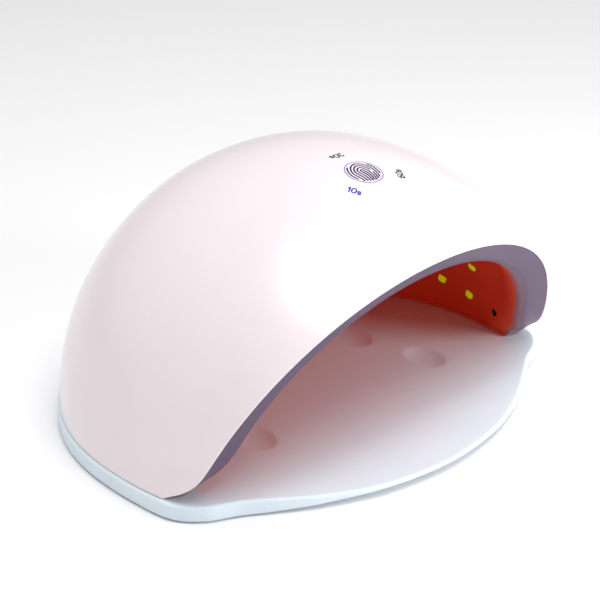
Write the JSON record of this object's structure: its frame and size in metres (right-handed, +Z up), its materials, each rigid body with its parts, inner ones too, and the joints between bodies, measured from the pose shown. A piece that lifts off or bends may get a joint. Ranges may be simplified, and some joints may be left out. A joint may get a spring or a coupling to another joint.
{
  "type": "uv led nail lamp",
  "caption": "Domed nail curing lamp: a pale pink head with a wide arched mouth and lamps inside, which lifts off a flat white finger tray.",
  "frame": {"origin": "on the table under the rubber feet, at the middle of the lamp's footprint", "axes": "+X to the right when facing the open mouth, +Y from the mouth to the back, +Z up"},
  "size_m": [0.2024, 0.168, 0.1057],
  "materials": {
    "cover_pink_gloss": "glossy moulded plastic with a faint pearl",
    "liner_pink_satin": "satin moulded plastic",
    "tray_white_satin": "satin moulded plastic",
    "frame_white_matte": "matte moulded plastic",
    "feet_rubber": "soft matte rubber",
    "magnet_nickel": "nickel plating",
    "screw_steel": "zinc plated",
    "lamp_yellow": "yellow lamp face under a clear dome",
    "strip_white": "white solder mask",
    "board_green": "green solder mask",
    "black_plastic": "moulded black plastic",
    "contact_metal": "tinned brass",
    "capacitor_aluminium": "aluminium can",
    "indicator_blue": "blue lamp lens",
    "wire_red": "red wire insulation"
  },
  "bodies": {
    "finger_tray": {"base_tray": "tray_white_satin", "foot_front_left": "feet_rubber", "foot_front_right": "feet_rubber", "foot_rear_left": "feet_rubber", "foot_rear_right": "feet_rubber", "tray_magnet_front_left": "magnet_nickel", "tray_magnet_front_right": "magnet_nickel", "tray_magnet_rear_left": "magnet_nickel", "tray_magnet_rear_right": "magnet_nickel"},
    "lamp_head": {"bottom_frame": "frame_white_matte", "control_board": "board_green", "dc_jack_housing": "black_plastic", "dc_jack_pin": "contact_metal", "head_magnet_front_left": "magnet_nickel", "head_magnet_front_right": "magnet_nickel", "head_magnet_rear_left": "magnet_nickel", "head_magnet_rear_right": "magnet_nickel", "indicator_led_10s": "indicator_blue", "indicator_led_30s": "indicator_blue", "indicator_led_60s": "indicator_blue", "infrared_emitter": "black_plastic", "infrared_sensor": "black_plastic", "inner_liner": "liner_pink_satin", "lamp_wire_left": "wire_red", "lamp_wire_right": "wire_red", "led_ceiling_1": "lamp_yellow", "led_ceiling_2": "lamp_yellow", "led_driver_chip": "black_plastic", "led_left_1": "lamp_yellow", "led_left_2": "lamp_yellow", "led_left_3": "lamp_yellow", "led_left_4": "lamp_yellow", "led_left_5": "lamp_yellow", "led_rear_1": "lamp_yellow", "led_rear_2": "lamp_yellow", "led_rear_3": "lamp_yellow", "led_rear_4": "lamp_yellow", "led_rear_5": "lamp_yellow", "led_right_1": "lamp_yellow", "led_right_2": "lamp_yellow", "led_right_3": "lamp_yellow", "led_right_4": "lamp_yellow", "led_right_5": "lamp_yellow", "led_strip_ceiling": "strip_white", "led_strip_left": "strip_white", "led_strip_rear": "strip_white", "led_strip_right": "strip_white", "outer_cover": "cover_pink_gloss", "power_inductor": "black_plastic", "screw_front_left": "screw_steel", "screw_front_right": "screw_steel", "screw_rear_left": "screw_steel", "screw_rear_right": "screw_steel", "smoothing_capacitor": "capacitor_aluminium", "supply_wire_negative": "black_plastic", "supply_wire_positive": "wire_red", "timer_microcontroller": "black_plastic", "touch_electrode": "contact_metal", "touch_spring": "contact_metal"}
  },
  "joints": [
    {"name": "head_lift_off", "type": "slide", "parent": "finger_tray", "child": "lamp_head", "axis": [0, 0, 1], "range_m": [0, 0.06]}
  ]
}
